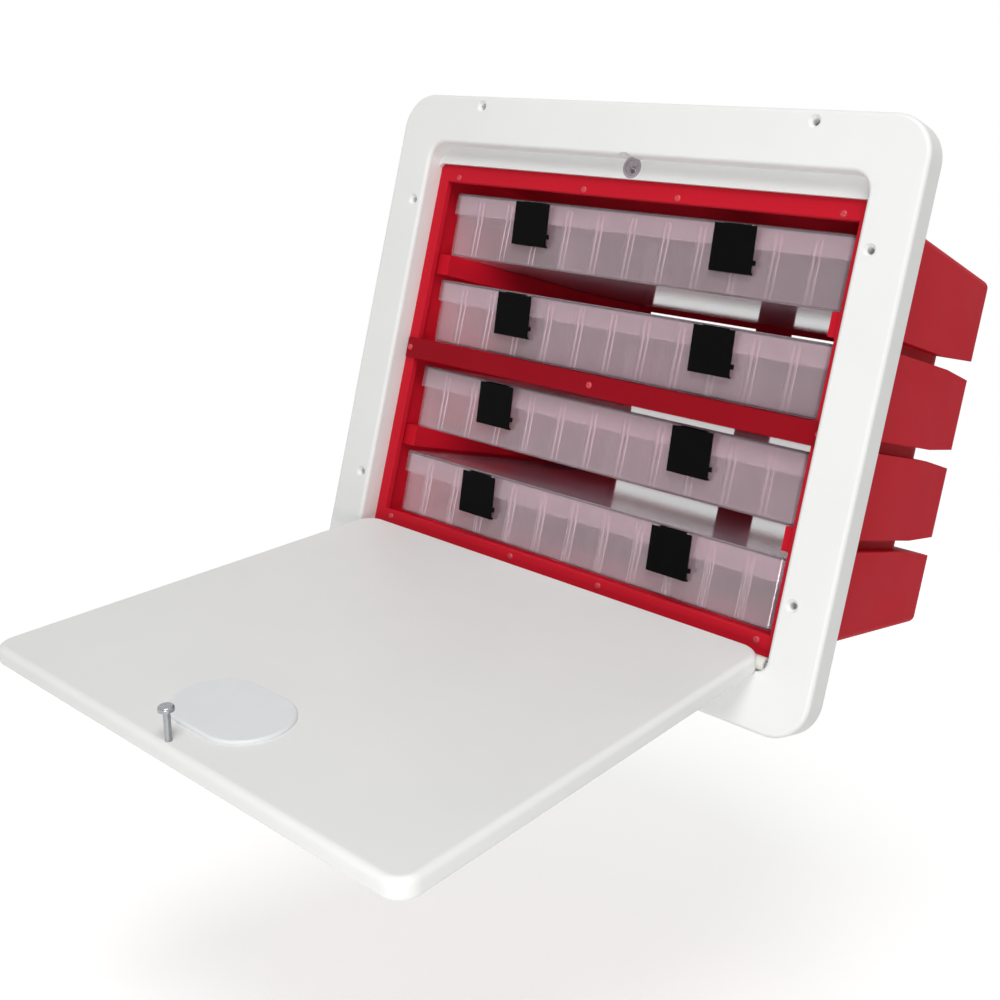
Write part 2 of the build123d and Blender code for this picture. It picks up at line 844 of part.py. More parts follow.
def save(shape, name):
    """Write one named piece."""
    export_step(shape, "parts/" + name + ".step")


def save_box(index):
    """Write the pieces of one utility box, numbered from the top."""
    number = str(index + 1)
    save(make_tray(index), "tray_" + number)
    save(make_lid(index), "lid_" + number)
    save(make_dividers(index), "dividers_" + number)
    save(make_lid_pins(index), "lid_pins_" + number)
    save(make_latch(index, -latch_x), "latch_left_" + number)
    save(make_latch(index, latch_x), "latch_right_" + number)


def main():
    """Build and write every piece."""
    os.makedirs("parts", exist_ok=True)
    save(make_bezel(), "bezel_frame")
    save(make_housing(), "tray_housing")
    save(make_front_trim(), "front_trim")
    save(make_front_bar(), "front_bar")
    save(make_rivets(), "trim_rivets")
    save(make_flange_screws(), "housing_screws")
    save(make_catch_cup(), "catch_cup")
    save(make_hinge_pin(), "hinge_pin_right")
    save(mirrored(make_hinge_pin()), "hinge_pin_left")
    save(make_pivot_spacer(), "pivot_spacer_right")
    save(mirrored(make_pivot_spacer()), "pivot_spacer_left")
    save(make_door(), "door_panel")
    save(make_finger_pull(), "finger_pull")
    save(make_strike_stud(), "strike_stud")
    for index in range(box_count):
        save_box(index)
    print("door opens", round(door_angle, 2), "degrees about", pivot_y, round(pivot_z, 2))


if __name__ == "__main__":
    main()
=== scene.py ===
# %% [markdown]
# A tackle centre for a boat: a white sheet-plastic panel with a drop-down door, a red
# moulded tub behind it, and four clear boxes that slide out of the tub.
# The solids come from the part itself, because forms drawn a second time could drift away
# from it. This script gives each one the finish of the real plastic or metal, adds the
# small things that are too fine for the solids, and lights it.

# %% Load the solids
import math

import bmesh
import bpy
from mathutils import Matrix, Vector


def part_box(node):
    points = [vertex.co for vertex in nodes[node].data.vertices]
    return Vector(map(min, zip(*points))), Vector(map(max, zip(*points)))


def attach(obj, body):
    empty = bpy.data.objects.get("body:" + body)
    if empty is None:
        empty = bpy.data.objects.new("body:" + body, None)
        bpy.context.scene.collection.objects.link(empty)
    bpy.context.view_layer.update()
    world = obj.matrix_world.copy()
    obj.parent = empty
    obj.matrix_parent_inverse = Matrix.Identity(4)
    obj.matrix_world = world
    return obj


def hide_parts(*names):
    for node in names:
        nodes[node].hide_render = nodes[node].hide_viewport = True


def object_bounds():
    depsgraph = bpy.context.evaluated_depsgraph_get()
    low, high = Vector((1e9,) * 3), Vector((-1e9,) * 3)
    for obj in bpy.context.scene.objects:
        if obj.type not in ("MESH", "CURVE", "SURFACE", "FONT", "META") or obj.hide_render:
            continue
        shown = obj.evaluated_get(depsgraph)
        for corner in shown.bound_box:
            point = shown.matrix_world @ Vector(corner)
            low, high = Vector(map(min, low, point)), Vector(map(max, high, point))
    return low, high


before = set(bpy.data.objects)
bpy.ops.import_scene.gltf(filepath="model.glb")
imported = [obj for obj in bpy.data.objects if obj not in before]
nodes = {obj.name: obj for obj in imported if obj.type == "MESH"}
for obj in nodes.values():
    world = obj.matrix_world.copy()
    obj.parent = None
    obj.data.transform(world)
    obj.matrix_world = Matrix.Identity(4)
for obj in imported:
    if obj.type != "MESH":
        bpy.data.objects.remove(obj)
solid_low, solid_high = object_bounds()
MM = 0.001
print("solids loaded:", len(nodes))

# %% [markdown]
# The camera stands to the right of the panel, at about half its height, and is rolled a
# little, as a hand-held camera is. A Track To constraint would aim it but can't roll it,
# so its three axes are worked out here from three angles. Its place and lens come from
# matching the panel's corners, and are set before anything is made.

# %% Camera
SENSOR_MM = 36.0
LENS_MM = 44.57
CAMERA_PLACE = Vector((0.5338, -0.7135, 0.0094))
AZIMUTH = math.radians(37.13)
ELEVATION = math.radians(3.95)
ROLL = math.radians(11.48)
CENTRE_SHIFT = (-0.0727, -0.0509)


def link(thing):
    """Puts an object into the scene."""
    bpy.context.scene.collection.objects.link(thing)
    return thing


def camera_axes():
    """The camera's right, up and forward, as unit vectors."""
    level = math.cos(ELEVATION)
    forward = Vector((-math.sin(AZIMUTH) * level, math.cos(AZIMUTH) * level, -math.sin(ELEVATION)))
    flat_right = Vector((math.cos(AZIMUTH), math.sin(AZIMUTH), 0))
    right = flat_right * math.cos(ROLL) + flat_right.cross(forward) * math.sin(ROLL)
    return right, right.cross(forward), forward


camera_data = bpy.data.cameras.new("camera")
camera_data.sensor_width = SENSOR_MM
camera_data.lens = LENS_MM
camera_data.shift_x, camera_data.shift_y = CENTRE_SHIFT
camera = link(bpy.data.objects.new("camera", camera_data))
right, up, forward = camera_axes()
turn = Matrix((right, up, -forward)).transposed().to_4x4()
camera.matrix_world = Matrix.Translation(CAMERA_PLACE) @ turn
bpy.context.scene.camera = camera
print("camera looks along", [round(x, 3) for x in forward])

# %% [markdown]
# A finish is a small graph of nodes. It could be drawn by hand in the Shader Editor, but
# a script makes the same graph every time. Three helpers keep the graphs short: one turns
# the colour that a designer writes, an sRGB hex value, into the linear light that Blender
# adds up, one adds a node with its settings and links, and one starts a material.

# %% Helpers for finishes
def colour(hex_value):
    """An sRGB hex colour as linear RGBA."""
    parts = [int(hex_value[i:i + 2], 16) / 255 for i in (1, 3, 5)]
    linear = [c / 12.92 if c <= 0.04045 else ((c + 0.055) / 1.055) ** 2.4 for c in parts]
    return (*linear, 1.0)


def add(tree, kind, settings=None, links=None):
    """Adds a node. A setting is an input's value or a property, and a link feeds an input."""
    node = tree.nodes.new(kind)
    for name, value in (settings or {}).items():
        if isinstance(name, int) or name in node.inputs:
            node.inputs[name].default_value = value
        else:
            setattr(node, name, value)
    for name, source in (links or {}).items():
        tree.links.new(source, node.inputs[name])
    return node


def start_material(name, settings):
    """A material with one main shader. Returns it, its tree, the shader and the place to read."""
    material = bpy.data.materials.new(name)
    material.use_nodes = True
    tree = material.node_tree
    tree.nodes.clear()
    shader = add(tree, "ShaderNodeBsdfPrincipled", settings)
    add(tree, "ShaderNodeOutputMaterial", links={"Surface": shader.outputs["BSDF"]})
    place = add(tree, "ShaderNodeTexCoord").outputs["Object"]
    return material, tree, shader, place


print("a mid grey of #808080 is", round(colour("#808080")[0], 3), "in linear light")

# %% [markdown]
# One flat colour looks drawn. Real plastic varies in three ways, and each has a recipe
# here: its colour drifts a little, its skin has small bumps, and its gloss is uneven.
# A painted image could hold all three, but noise needs no file and shows no seam. Every
# size is in millimetres on the real object.

# %% Recipes for a surface
def tint(tree, shader, place, low_hex, high_hex, patch_mm):
    """The colour: a soft mottle between two close colours, in patches of about patch_mm."""
    spots = add(tree, "ShaderNodeTexNoise", {"Scale": 1 / (patch_mm * MM), "Detail": 2.0},
                {"Vector": place})
    ramp = add(tree, "ShaderNodeValToRGB", links={"Fac": spots.outputs["Fac"]})
    ramp.color_ramp.elements[0].color = colour(low_hex)
    ramp.color_ramp.elements[1].color = colour(high_hex)
    tree.links.new(ramp.outputs["Color"], shader.inputs["Base Color"])


def grain(tree, shader, place, size_mm, depth_mm, strength):
    """The skin: small bumps of about size_mm."""
    spots = add(tree, "ShaderNodeTexNoise", {"Scale": 1 / (size_mm * MM), "Detail": 3.0},
                {"Vector": place})
    bump = add(tree, "ShaderNodeBump", {"Strength": strength, "Distance": depth_mm * MM},
               {"Height": spots.outputs["Fac"]})
    tree.links.new(bump.outputs["Normal"], shader.inputs["Normal"])


def uneven_roughness(tree, shader, place, patch_mm, low, high):
    """The gloss: roughness that drifts between low and high in patches of about patch_mm."""
    spots = add(tree, "ShaderNodeTexNoise", {"Scale": 1 / (patch_mm * MM), "Detail": 1.0},
                {"Vector": place})
    level = add(tree, "ShaderNodeMapRange", {"To Min": low, "To Max": high},
                {"Value": spots.outputs["Fac"]})
    tree.links.new(level.outputs[0], shader.inputs["Roughness"])


def dress(material, *names):
    """Gives the material to whole solids, by name."""
    for name in names:
        for slot in nodes[name].material_slots:
            slot.material = material
    print(material.name, "on", len(names), "solids")


print("a patch of 60 mm is a noise scale of", round(1 / (60 * MM), 1))

# %% [markdown]
# The studio is white all round. A world at full strength would bleach the white panel, so
# it has two strengths: full white for the eye and for what shiny or clear things show, and
# a soft light for everything else. The Light Path node tells these rays apart.

# %% White world
WORLD_LIGHT = 0.34


def seen_directly(tree):
    """1 for rays that show the background: from the camera, a mirror or clear plastic."""
    path = add(tree, "ShaderNodeLightPath")
    gloss = add(tree, "ShaderNodeMath", {"operation": "MAXIMUM"},
                {0: path.outputs["Is Camera Ray"], 1: path.outputs["Is Glossy Ray"]})
    return add(tree, "ShaderNodeMath", {"operation": "MAXIMUM"},
               {0: gloss.outputs[0], 1: path.outputs["Is Transmission Ray"]}).outputs[0]


def make_world():
    """A white world that looks brighter than the light it gives."""
    world = bpy.data.worlds.new("white_studio")
    world.use_nodes = True
    tree = world.node_tree
    tree.nodes.clear()
    strength = add(tree, "ShaderNodeMapRange", {"To Min": WORLD_LIGHT, "To Max": 1.0},
                   {"Value": seen_directly(tree)})
    sky = add(tree, "ShaderNodeBackground", {"Color": colour("#FFFFFF")},
              {"Strength": strength.outputs[0]})
    add(tree, "ShaderNodeOutputWorld", links={"Surface": sky.outputs[0]})
    bpy.context.scene.world = world


bpy.context.scene.view_settings.view_transform = "Standard"
make_world()
print("world light:", WORLD_LIGHT)

# %% [markdown]
# A wide lamp above the front gives the forms their shading, and a small one low in front
# reaches in under the tub's roof. A sun or a point would draw hard shadows, so both are
# discs, whose shadows have soft edges. Each looks at the middle of the bezel's back, which
# is the origin.

# %% Lamps
KEY_PLACE = Vector((0.75, -1.4, 1.55))
KEY_SIZE = 1.1
KEY_WATTS = 28.0
FRONT_PLACE = Vector((0.72, -1.0, -0.42))
FRONT_SIZE = 0.4
FRONT_WATTS = 4.2


def make_lamp(name, place, size, watts):
    """A round lamp that looks at the origin."""
    lamp = bpy.data.lights.new(name, "AREA")
    lamp.shape = "DISK"
    lamp.size = size
    lamp.energy = watts
    holder = link(bpy.data.objects.new(name, lamp))
    aim = (-place).to_track_quat("-Z", "Y").to_matrix().to_4x4()
    holder.matrix_world = Matrix.Translation(place) @ aim
    print(name, "lamp is", round(place.length, 2), "m away")


make_lamp("key", KEY_PLACE, KEY_SIZE, KEY_WATTS)
make_lamp("front", FRONT_PLACE, FRONT_SIZE, FRONT_WATTS)

# %% [markdown]
# The floor lies well below the panel, which hangs on a wall, and only shows its soft
# shadow. The lamps alone would leave it grey, so it glows a little, for the same rays as
# the world does. The glow grows with distance, where the lamps fade, because a grey line
# would show at the horizon without that.

# %% Floor
FLOOR_DROP = 0.30
FLOOR_SIZE = 12.0
FLOOR_GLOW = 0.52
FLOOR_GLOW_FAR = 0.7
FLOOR_NEAR = 0.7
FLOOR_FAR = 3.0


def floor_material():
    """Pale matt paint that glows a little to the eye, and more so far away."""
    material, tree, shader, place = start_material("pale_floor", {"Roughness": 0.9})
    tint(tree, shader, place, "#F2F2F1", "#F6F6F5", patch_mm=400)
    away = add(tree, "ShaderNodeVectorMath", {"operation": "LENGTH"}, {0: place})
    glow = add(tree, "ShaderNodeMapRange",
               {"From Min": FLOOR_NEAR, "From Max": FLOOR_FAR, "To Min": FLOOR_GLOW,
                "To Max": FLOOR_GLOW_FAR}, {"Value": away.outputs["Value"]})
    lift = add(tree, "ShaderNodeMath", {"operation": "MULTIPLY"},
               {0: glow.outputs[0], 1: seen_directly(tree)})
    shader.inputs["Emission Color"].default_value = colour("#FFFFFF")
    tree.links.new(lift.outputs[0], shader.inputs["Emission Strength"])
    return material


def make_floor(height):
    """A square floor at a given height."""
    half = FLOOR_SIZE / 2
    mesh = bpy.data.meshes.new("floor")
    corners = [(x * half, y * half, height) for x, y in ((-1, -1), (1, -1), (1, 1), (-1, 1))]
    mesh.from_pydata(corners, [], [(0, 1, 2, 3)])
    mesh.materials.append(floor_material())
    link(bpy.data.objects.new("floor", mesh))


floor_height = solid_low.z - FLOOR_DROP
make_floor(floor_height)
print("floor at", round(floor_height, 3))

# %% [markdown]
# The panel and the door are cut from one sheet of high-density polyethylene, the white
# board used on boats. Its faces are pressed with a fine matt grain, so light spreads on
# it softly. The real grain is finer than a pixel here, so it is drawn 1.2 mm wide, as
# coarse as it needs to show. It only changes the light, so a bump does as well as a
# displaced mesh.

# %% White polyethylene board
def hdpe_board():
    """White sheet with a fine matt grain."""
    material, tree, shader, place = start_material("pressed_hdpe_board", {"IOR": 1.54})
    tint(tree, shader, place, "#E6E7E5", "#ECECEB", patch_mm=60)
    grain(tree, shader, place, size_mm=1.2, depth_mm=0.05, strength=0.35)
    uneven_roughness(tree, shader, place, patch_mm=25, low=0.42, high=0.56)
    return material


dress(hdpe_board(), "bezel_frame", "door_panel")

# %% [markdown]
# The tub, its border and the middle bar are red ABS with a satin face. The tub is
# moulded, which leaves a faint orange peel. ABS can be as glossy as a toy brick, but here
# a white room would then wash the red out at low angles, so its mirror part is kept
# weak. The bar is a darker red than the rest.

# %% Red ABS
def red_abs(name, low_hex, high_hex, smooth, rough):
    """Red plastic between two close reds, with a roughness between smooth and rough."""
    settings = {"IOR": 1.53, "Specular IOR Level": 0.06}
    material, tree, shader, place = start_material(name, settings)
    tint(tree, shader, place, low_hex, high_hex, patch_mm=90)
    grain(tree, shader, place, size_mm=2.2, depth_mm=0.06, strength=0.25)
    uneven_roughness(tree, shader, place, patch_mm=40, low=smooth, high=rough)
    return material


dress(red_abs("moulded_red_abs", "#C01728", "#CA1A2C", 0.5, 0.6), "tray_housing")
dress(red_abs("cut_red_abs", "#BE1A2A", "#C71D2E", 0.4, 0.52), "front_trim")
dress(red_abs("dark_red_abs", "#8A0A18", "#94101E", 0.36, 0.48), "front_bar")

# %% [markdown]
# The boxes are clear polypropylene. It is never as clear as glass: the moulding has a
# faint milky haze, so what is behind looks soft, and the red tub shows through as mauve.
# The main shader's own transmission gives that, with a little roughness, and the pink in
# the base colour is painted red light from the tub around the boxes. Bent light would
# leave the inside of the boxes too dark, so a shadow ray, which looks for a lamp, passes
# through them unbent, as through a plain transparent sheet.

# %% Clear polypropylene
BOXES = (1, 2, 3, 4)


def clear_pp():
    """Clear plastic with a faint haze, through which lamps still shine."""
    settings = {"IOR": 1.49, "Transmission Weight": 0.9, "Roughness": 0.12,
                "Specular IOR Level": 0.3}
    material, tree, shader, place = start_material("clear_polypropylene", settings)
    # Painted red light: the pink in these two colours stands for the tub's red light on the milky
    # plastic.
    tint(tree, shader, place, "#EDDDE3", "#F4E6EB", patch_mm=50)
    grain(tree, shader, place, size_mm=8, depth_mm=0.04, strength=0.15)
    path = add(tree, "ShaderNodeLightPath")
    clear = add(tree, "ShaderNodeBsdfTransparent", {"Color": colour("#F5F0F3")})
    mix = add(tree, "ShaderNodeMixShader",
              links={0: path.outputs["Is Shadow Ray"], 1: shader.outputs["BSDF"],
                     2: clear.outputs["BSDF"]})
    tree.links.new(mix.outputs[0], tree.nodes["Material Output"].inputs["Surface"])
    return material


dress(clear_pp(), *[f"{kind}_{k}" for kind in ("tray", "lid", "dividers") for k in BOXES])

# %% [markdown]
# The latches are black moulded nylon with a fine matt spark finish, so that a thumb
# doesn't slip. The highlights on them are wide and dim. Roughness alone would dim them,
# but bumps also break up their edges. The sparks are drawn 0.8 mm wide, a little coarser
# than real ones, so that they show.

# %% Black latch plastic
def black_nylon():
    """Black plastic with fine sparks in its face."""
    settings = {"IOR": 1.53, "Specular IOR Level": 0.03}
    material, tree, shader, place = start_material("moulded_black_nylon", settings)
    tint(tree, shader, place, "#060607", "#0B0B0C", patch_mm=8)
    grain(tree, shader, place, size_mm=0.8, depth_mm=0.04, strength=0.4)
    uneven_roughness(tree, shader, place, patch_mm=6, low=0.34, high=0.46)
    return material


dress(black_nylon(), *[f"latch_{side}_{k}" for side in ("left", "right") for k in BOXES])

# %% [markdown]
# Pins, screws and the stud that the catch grips are turned from stainless steel. A
# metal's base colour is the colour of its mirror, and it has no other, so a mid grey
# with low roughness gives a bright line beside a dark one. A faint grain breaks the line
# up, as the marks of turning do. It is drawn 0.6 mm wide, coarser than they are, to show.

# %% Stainless steel
def stainless():
    """Steel with the faint marks of turning."""
    settings = {"Metallic": 1.0, "Roughness": 0.22}
    material, tree, shader, place = start_material("turned_stainless", settings)
    tint(tree, shader, place, "#8E9093", "#A8AAAD", patch_mm=3)
    grain(tree, shader, place, size_mm=0.6, depth_mm=0.01, strength=0.3)
    return material


steel = stainless()
dress(steel, "hinge_pin_left", "hinge_pin_right", "strike_stud",
      *[f"lid_pins_{k}" for k in BOXES])

# %% [markdown]
# The catch cup is grey nylon, the pivot rings are natural nylon, which is a warm and dull
# white, and the finger pull is a smooth moulding in a colder white. The rivets are painted
# red and shine more than the border. Their red is paler than the border's: a painted
# highlight, which stands for the light on their small domes and makes them show on it.
# One recipe does for all four, because only their colours, their gloss and the depth of
# their grain differ.
# The grain is drawn 1 mm wide, so that it shows.

# %% Small mouldings and rivet paint
def plain_moulding(name, low_hex, high_hex, smooth, rough, grain_depth=0.03):
    """A small piece between two close colours, with a roughness between smooth and rough."""
    settings = {"IOR": 1.53, "Specular IOR Level": 0.3}
    material, tree, shader, place = start_material(name, settings)
    tint(tree, shader, place, low_hex, high_hex, patch_mm=15)
    grain(tree, shader, place, size_mm=1.0, depth_mm=grain_depth, strength=0.25)
    uneven_roughness(tree, shader, place, patch_mm=10, low=smooth, high=rough)
    return material


grey_nylon = plain_moulding("grey_nylon", "#A0969C", "#ABA1A7", 0.35, 0.45)
# Painted highlight: the rivets' red is made paler than the border's for the light on their domes.
rivet_red_and_highlight = plain_moulding("rivet_red_with_painted_highlight", "#C23A42", "#CC444C", 0.2, 0.28)
dress(grey_nylon, "catch_cup")
dress(plain_moulding("natural_nylon", "#DAD9D2", "#E2E1DB", 0.35, 0.45),
      "pivot_spacer_left", "pivot_spacer_right")
dress(plain_moulding("white_abs_moulding", "#E0E2E4", "#E5E7E9", 0.3, 0.38, 0.006),
      "finger_pull")

# %% [markdown]
# The border and the bar are held with blind rivets, and the tub's rim with pan-head
# screws. In the solids they are plain pegs. Here each gets its real head, turned as a
# lathe turns it: a section of radius and depth, in mm, goes round the axis. The Spin and
# Screw tools do the same, but leave doubled points on the axis that need merging.

# %% Round forms from a section
ROUND_STEPS = 28
SHARP_DEGREES = 35


def finish_mesh(name, form):
    """Closes a bmesh into an object with outward faces and sharp edges."""
    bmesh.ops.recalc_face_normals(form, faces=form.faces)
    mesh = bpy.data.meshes.new(name)
    form.to_mesh(mesh)
    form.free()
    mesh.shade_smooth()
    mesh.set_sharp_from_angle(angle=math.radians(SHARP_DEGREES))
    print(name, "has", len(mesh.polygons), "faces")
    return link(bpy.data.objects.new(name, mesh))


def lathe(name, section):
    """A round form about the Y axis. The section starts and ends on the axis."""
    form = bmesh.new()
    rings = []
    for radius, depth in section:
        count = ROUND_STEPS if radius else 1
        turns = [2 * math.pi * step / count for step in range(count)]
        rings.append([form.verts.new((radius * MM * math.cos(t), depth * MM,
                                      radius * MM * math.sin(t))) for t in turns])
    for ring, after in zip(rings, rings[1:]):
        for step in range(ROUND_STEPS):
            corners = [ring[step % len(ring)], ring[(step + 1) % len(ring)],
                       after[(step + 1) % len(after)], after[step % len(after)]]
            unique = list(dict.fromkeys(corners))
            if len(unique) > 2:
                form.faces.new(unique)
    return finish_mesh(name, form)


print("a round form has", ROUND_STEPS, "steps")

# %% [markdown]
# The places of the rivets and screws could be typed in, but then they would stay behind
# when the part changes. They are read from the solids instead: a node's mesh falls apart
# into its separate pegs, and each peg's box gives its axis and its two ends.

# %% Where the pegs are
WELD_MM = 0.001


def solid_boxes(name):
    """The lowest and highest corner of each separate solid in a node."""
    form = bmesh.new()
    form.from_mesh(nodes[name].data)
    form.transform(nodes[name].matrix_world)
    bmesh.ops.remove_doubles(form, verts=form.verts, dist=WELD_MM * MM)
    waiting = set(form.verts)
    boxes = []
    while waiting:
        group = set()
        front = {next(iter(waiting))}
        while front:
            group |= front
            front = {e.other_vert(v) for v in front for e in v.link_edges} - group
        waiting -= group
        boxes.append([Vector(pick(v.co[i] for v in group) for i in range(3))
                      for pick in (min, max)])
    form.free()
    return sorted(boxes, key=lambda pair: tuple(round(x, 5) for x in pair[0]))


rivet_boxes = solid_boxes("trim_rivets")
screw_boxes = solid_boxes("housing_screws")
print("rivets:", len(rivet_boxes), "screws:", len(screw_boxes))

# %% [markdown]
# A tree of geometry nodes sets a head and a shank on every point. A loop in Python could
# copy the meshes too, but the tree holds the rule in one place for both kinds. Each
# fastener is turned by its own amount about its axis, as hand-set ones are, and each
# shank is as long as its hole is deep.

# %% Fastener tree
FASTENER_SEED = 5


def fastener_tree():
    """Points go in, and a head and a shank for each come out, in one finish."""
    tree = bpy.data.node_groups.new("fasteners_on_points", "GeometryNodeTree")
    kinds = {"Points": "NodeSocketGeometry", "Head": "NodeSocketObject",
             "Shank": "NodeSocketObject", "Finish": "NodeSocketMaterial",
             "Largest Turn": "NodeSocketFloat"}
    for name, kind in kinds.items():
        tree.interface.new_socket(name, in_out="INPUT", socket_type=kind)
    tree.interface.new_socket("Fasteners", in_out="OUTPUT", socket_type="NodeSocketGeometry")
    given = add(tree, "NodeGroupInput").outputs
    head = add(tree, "GeometryNodeObjectInfo", links={"Object": given["Head"]})
    shank = add(tree, "GeometryNodeObjectInfo", links={"Object": given["Shank"]})
    most = add(tree, "ShaderNodeCombineXYZ", links={"Y": given["Largest Turn"]})
    turn = add(tree, "FunctionNodeRandomValue", {"data_type": "FLOAT_VECTOR", 8: FASTENER_SEED,
                                                 0: (0, 0, 0)}, {1: most.outputs[0]})
    length = add(tree, "GeometryNodeInputNamedAttribute", {"data_type": "FLOAT", "Name": "reach"})
    stretch = add(tree, "ShaderNodeCombineXYZ", {"X": 1.0, "Z": 1.0},
                  {"Y": length.outputs["Attribute"]})
    heads = add(tree, "GeometryNodeInstanceOnPoints",
                links={"Points": given["Points"], "Instance": head.outputs["Geometry"],
                       "Rotation": turn.outputs[0]})
    shanks = add(tree, "GeometryNodeInstanceOnPoints",
                 links={"Points": given["Points"], "Instance": shank.outputs["Geometry"],
                        "Scale": stretch.outputs[0]})
    both = add(tree, "GeometryNodeJoinGeometry", links={0: heads.outputs[0]})
    tree.links.new(shanks.outputs[0], both.inputs[0])
    real = add(tree, "GeometryNodeRealizeInstances", links={"Geometry": both.outputs[0]})
    painted = add(tree, "GeometryNodeSetMaterial",
                  links={"Geometry": real.outputs[0], "Material": given["Finish"]})
    add(tree, "NodeGroupOutput", links={0: painted.outputs[0]})
    return tree


FASTENERS = fastener_tree()
print("fastener tree has", len(FASTENERS.nodes), "nodes")

# %% [markdown]
# The tree's result is turned into a plain mesh at once, so nothing in the scene has to
# work it out again. Its inputs are set first, and the two small meshes that it copied are
# then removed.

# %% Set fasteners on points
def plain_mesh(thing):
    """What an object looks like with its modifiers, as a mesh of its own."""
    graph = bpy.context.evaluated_depsgraph_get()
    return bpy.data.meshes.new_from_object(thing.evaluated_get(graph), depsgraph=graph)


def set_fasteners(name, places, reach, values):
    """One plain mesh with a fastener on every place. reach stretches each shank."""
    points = bpy.data.meshes.new(name)
    points.from_pydata(places, [], [])
    points.attributes.new("reach", "FLOAT", "POINT").data.foreach_set("value", reach)
    holder = link(bpy.data.objects.new(name, points))
    maker = holder.modifiers.new("fasteners", "NODES")
    maker.node_group = FASTENERS
    for socket in FASTENERS.interface.items_tree:
        if socket.name in values:
            maker[socket.identifier] = values[socket.name]
    made = plain_mesh(holder)
    holder.modifiers.remove(maker)
    holder.data = made
    for part in (values["Head"], values["Shank"]):
        bpy.data.objects.remove(part)
    print(name, "has", len(made.polygons), "faces")
    return holder


print("sockets:", [socket.name for socket in FASTENERS.interface.items_tree])

# %% [markdown]
# A blind rivet has a shallow dome with a small pit in its middle, where the mandrel broke
# off. A flattened sphere would have no pit, so the dome is a section too. The shank is a
# plain rod that ends 1 mm behind the head, and the tree stretches it to its hole.

# %% Domed rivets
RIVET_HEAD_DEPTH = 1.0
RIVET_DOME = ((0.0, -0.45), (0.7, -0.45), (0.8, -0.5), (0.85, -0.92), (1.0, -1.0),
              (1.5, -0.9), (2.0, -0.62), (2.36, -0.3), (2.5, -0.08), (2.5, 0.0), (0.0, 0.0))
RIVET_RADIUS = 1.6
SHANK_START = -0.1
RIVET_SHANK = ((0.0, SHANK_START), (RIVET_RADIUS, SHANK_START), (RIVET_RADIUS, 1.0), (0.0, 1.0))

places = [Vector(((low.x + high.x) / 2, low.y + RIVET_HEAD_DEPTH * MM, (low.z + high.z) / 2))
          for low, high in rivet_boxes]
reach = [(high.y - place.y) / MM for place, (low, high) in zip(places, rivet_boxes)]
rivets = set_fasteners("trim_rivets_domed", places, reach, {
    "Head": lathe("rivet_head", RIVET_DOME), "Shank": lathe("rivet_shank", RIVET_SHANK),
    "Finish": rivet_red_and_highlight, "Largest Turn": 2 * math.pi})
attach(rivets, "housing")
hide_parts("trim_rivets")

# %% [markdown]
# The tub's rim is held with screws that have a low pan head and a cross recess. A dark
# cross painted on the head would do from far away, but it would look flat up close, so
# the recess is cut with a boolean, which gives it crisp edges.

# %% Head of a screw
SCREW_HEAD_DEPTH = 1.6
SCREW_PAN = ((0.0, 0.0), (2.8, 0.0), (2.8, 0.5), (2.62, 1.0), (2.2, 1.38), (1.5, 1.58),
             (0.0, 1.6))
RECESS_REACH = 1.5
RECESS_HALF = 0.38
RECESS_DEPTH = 1.0
CUT_OVER = 0.5


def recess_cutter():
    """A cross-shaped bar that reaches into the head."""
    a, b = RECESS_HALF, RECESS_REACH
    cross = [(a, b), (a, a), (b, a), (b, -a), (a, -a), (a, -b),
             (-a, -b), (-a, -a), (-b, -a), (-b, a), (-a, a), (-a, b)]
    form = bmesh.new()
    caps = [[form.verts.new((x * MM, depth * MM, z * MM)) for x, z in cross]
            for depth in (SCREW_HEAD_DEPTH + CUT_OVER, SCREW_HEAD_DEPTH - RECESS_DEPTH)]
    form.faces.new(caps[0])
    form.faces.new(caps[1])
    for k in range(len(cross)):
        after = (k + 1) % len(cross)
        form.faces.new((caps[0][k], caps[0][after], caps[1][after], caps[1][k]))
    return finish_mesh("recess_cutter", form)


def recessed_head():
    """The pan head with a cross cut into it."""
    head = lathe("screw_head", SCREW_PAN)
    cutter = recess_cutter()
    cut = head.modifiers.new("recess", "BOOLEAN")
    cut.object = cutter
    cut.operation = "DIFFERENCE"
    cut.solver = "EXACT"
    made = plain_mesh(head)
    head.modifiers.remove(cut)
    head.data = made
    bpy.data.objects.remove(cutter)
    return head


pan_head = recessed_head()

# %% [markdown]
# Under the head is a coarse thread that bites into the board. A helix would be the true
# thread, but it sits in its hole, so a ring for each turn is enough. Each screw is as long
# as its peg, and the tree turns it by up to a quarter, after which a cross looks the same.

# %% Screws in the tub's rim
SCREW_CORE = 1.15
SCREW_CREST = 1.58
SCREW_START = 0.1
THREAD_PITCH = 0.9
THREAD_RING = ((SCREW_CORE, 0.3), (SCREW_CREST, 0.45), (SCREW_CORE, 0.6))
TIP_TAPER = 0.2
TIP_RADIUS = 0.6


def screw_thread(length):
    """Rings from under the head to the tip, as a section for the lathe."""
    section = [(0.0, SCREW_START), (SCREW_CORE, SCREW_START)]
    for k in range(int(length / THREAD_PITCH)):
        section += [(radius, -k * THREAD_PITCH - along) for radius, along in THREAD_RING]
    return section + [(SCREW_CORE, TIP_TAPER - length), (TIP_RADIUS, -length), (0.0, -length)]


places = [Vector(((low.x + high.x) / 2, high.y - SCREW_HEAD_DEPTH * MM, (low.z + high.z) / 2))
          for low, high in screw_boxes]
screw_length = (places[0].y - screw_boxes[0][0].y) / MM
screws = set_fasteners("housing_screws_pan", places, [1.0] * len(places), {
    "Head": pan_head, "Shank": lathe("screw_shank", screw_thread(screw_length)),
    "Finish": steel, "Largest Turn": math.pi / 2})
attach(screws, "housing")
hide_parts("housing_screws")

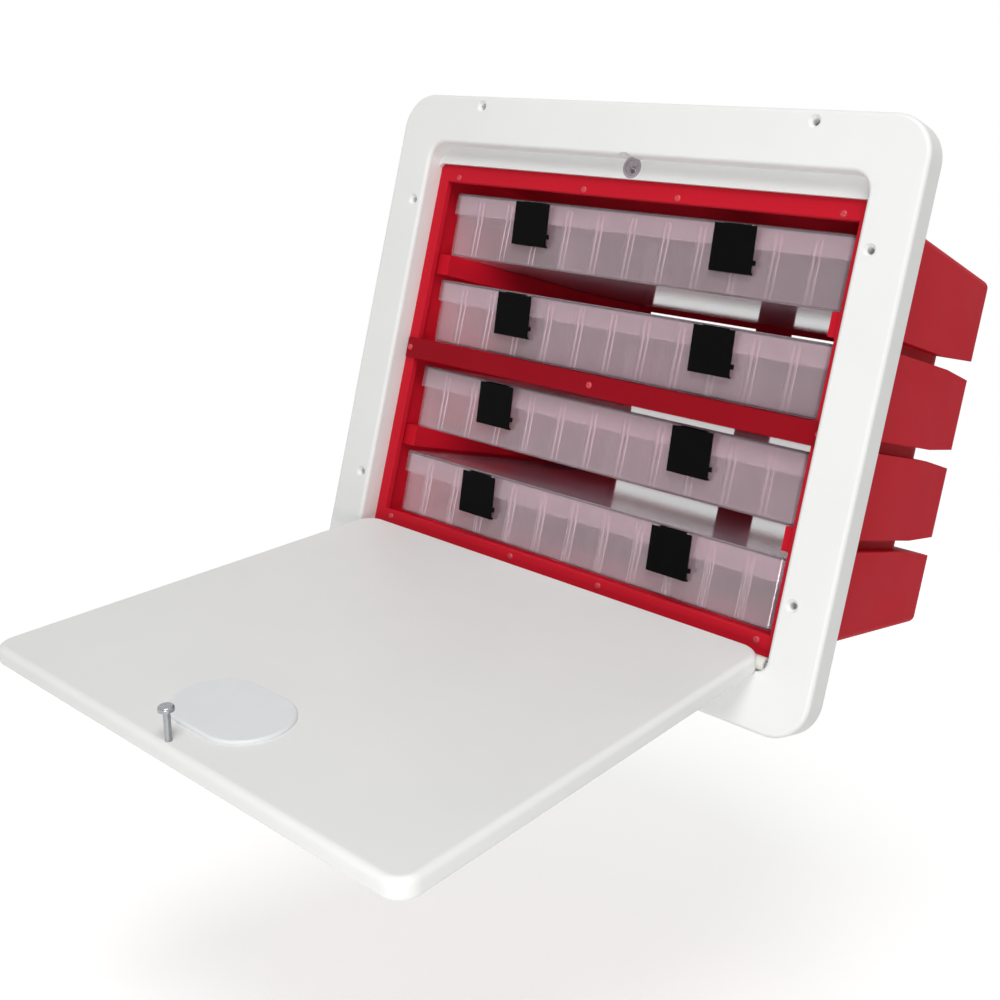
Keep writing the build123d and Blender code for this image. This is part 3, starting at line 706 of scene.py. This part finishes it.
# %% [markdown]
# The catch is a nylon cup whose face is closed by thin petals. The stud's head pushes them
# apart as the door shuts, and they spring back round its neck. A disc with a boolean for
# each slit would be flat, so each petal is a slice of a shallow dish that turns back into
# a sleeve, with a slit on either side. The sleeve is deep enough that its middle looks
# dark from the side. It sits a little below the cup's centre, where the stud comes to rest
# after its swing. Each ring is a radius and a depth in mm.

# %% Shape of a petal
PETALS = 6
PETAL_STEPS = 8
PETAL_FRONT = ((5.62, 0.0), (4.6, 0.1), (3.4, 0.35), (2.6, 0.75), (2.25, 1.4), (2.2, 6.6))
PETAL_BACK = ((5.62, 0.7), (4.6, 0.8), (3.6, 1.05), (3.05, 1.4), (2.85, 1.9), (2.7, 6.6))
PETAL_SLIT = 0.14
PETAL_SINK = 0.55
SLEEVE_RADIUS = 3.0
STUD_DROP = 0.9


def sleeve_drop(radius):
    """How far a ring of a petal lies below the cup's centre, in mm."""
    rim = PETAL_FRONT[0][0]
    return STUD_DROP * min(1.0, (rim - radius) / (rim - SLEEVE_RADIUS))


def petal_rows(form, centre, petal, side):
    """The points of one side of a petal, a row for each ring, and the faces between them."""
    rows = []
    for radius, dish in side:
        half = math.pi / PETALS - PETAL_SLIT / radius
        turns = [2 * math.pi * petal / PETALS + half * (2 * s / PETAL_STEPS - 1)
                 for s in range(PETAL_STEPS + 1)]
        low = sleeve_drop(radius)
        rows.append([form.verts.new(centre + MM * Vector((
            radius * math.cos(t), PETAL_SINK + dish, radius * math.sin(t) - low))) for t in turns])
    for row, after in zip(rows, rows[1:]):
        for s in range(PETAL_STEPS):
            form.faces.new((row[s], row[s + 1], after[s + 1], after[s]))
    return rows


def border(rows):
    """The points round the edge of a grid of rows, in order."""
    return (rows[0] + [row[-1] for row in rows[1:-1]] + rows[-1][::-1]
            + [row[0] for row in rows[-2:0:-1]])


print("the sleeve lies", sleeve_drop(SLEEVE_RADIUS), "mm below the cup's centre")

# %% [markdown]
# A petal has a front, a back and an edge that joins them. Solidify could give a single
# sheet its thickness, but here the wall is thicker at the rim than at the sleeve, so both
# sides are drawn. The cup's own box says where the petals go.

# %% Petals in the cup
def petal_dish(centre):
    """All the petals as one mesh, dished inwards, about a centre on the cup's face."""
    form = bmesh.new()
    for petal in range(PETALS):
        front, back = [border(petal_rows(form, centre, petal, side))
                       for side in (PETAL_FRONT, PETAL_BACK)]
        for k in range(len(front)):
            after = (k + 1) % len(front)
            form.faces.new((front[k], front[after], back[after], back[k]))
    return finish_mesh("catch_petals", form)


cup_low, cup_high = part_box("catch_cup")
cup_face = Vector(((cup_low[0] + cup_high[0]) / 2, cup_low[1], (cup_low[2] + cup_high[2]) / 2))
petals = petal_dish(cup_face)
petals.data.materials.append(grey_nylon)
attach(petals, "housing")
print("petals face at", [round(x, 4) for x in cup_face])
